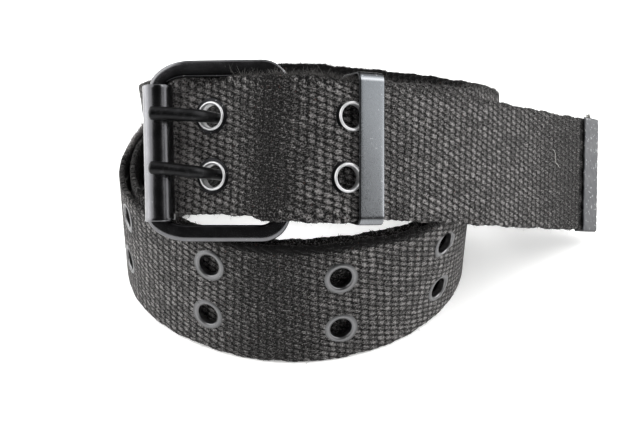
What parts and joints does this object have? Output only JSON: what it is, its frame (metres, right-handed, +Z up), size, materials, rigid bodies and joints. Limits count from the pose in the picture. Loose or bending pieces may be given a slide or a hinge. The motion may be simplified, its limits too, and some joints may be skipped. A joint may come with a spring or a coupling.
{
  "type": "canvas web belt",
  "caption": "Coiled canvas web belt with a double-prong roller buckle, eyelets in pairs along the strap, a metal keeper loop and a metal strap tip",
  "frame": {"origin": "middle of the belt's bounding box in plan, on the surface it lies on", "axes": "+X to the right along the strap's free end, +Y away from the viewer, +Z up"},
  "size_m": [0.1598, 0.129, 0.081],
  "materials": {
    "canvas": "coarse plain weave, matt, slightly fuzzy",
    "black_enamel": "smooth gloss black",
    "gunmetal": "satin blue-grey plated steel",
    "eyelet_metal": "satin dark nickel"
  },
  "bodies": {
    "root": {"webbing": "canvas", "frame": "black_enamel", "roller": "black_enamel", "prong_upper": "black_enamel", "prong_lower": "black_enamel", "keeper": "gunmetal", "tip": "gunmetal", "eyelet_01_upper": "eyelet_metal", "eyelet_01_lower": "eyelet_metal", "eyelet_02_upper": "eyelet_metal", "eyelet_02_lower": "eyelet_metal", "eyelet_03_upper": "eyelet_metal", "eyelet_03_lower": "eyelet_metal", "eyelet_04_upper": "eyelet_metal", "eyelet_04_lower": "eyelet_metal", "eyelet_05_upper": "eyelet_metal", "eyelet_05_lower": "eyelet_metal", "eyelet_06_upper": "eyelet_metal", "eyelet_06_lower": "eyelet_metal", "eyelet_07_upper": "eyelet_metal", "eyelet_07_lower": "eyelet_metal", "eyelet_08_upper": "eyelet_metal", "eyelet_08_lower": "eyelet_metal", "eyelet_09_upper": "eyelet_metal", "eyelet_09_lower": "eyelet_metal", "eyelet_10_upper": "eyelet_metal", "eyelet_10_lower": "eyelet_metal", "eyelet_11_upper": "eyelet_metal", "eyelet_11_lower": "eyelet_metal", "eyelet_12_upper": "eyelet_metal", "eyelet_12_lower": "eyelet_metal", "eyelet_13_upper": "eyelet_metal", "eyelet_13_lower": "eyelet_metal", "eyelet_14_upper": "eyelet_metal", "eyelet_14_lower": "eyelet_metal", "eyelet_15_upper": "eyelet_metal", "eyelet_15_lower": "eyelet_metal", "eyelet_16_upper": "eyelet_metal", "eyelet_16_lower": "eyelet_metal", "eyelet_17_upper": "eyelet_metal", "eyelet_17_lower": "eyelet_metal", "eyelet_18_upper": "eyelet_metal", "eyelet_18_lower": "eyelet_metal", "eyelet_19_upper": "eyelet_metal", "eyelet_19_lower": "eyelet_metal", "eyelet_20_upper": "eyelet_metal", "eyelet_20_lower": "eyelet_metal"}
  },
  "joints": []
}
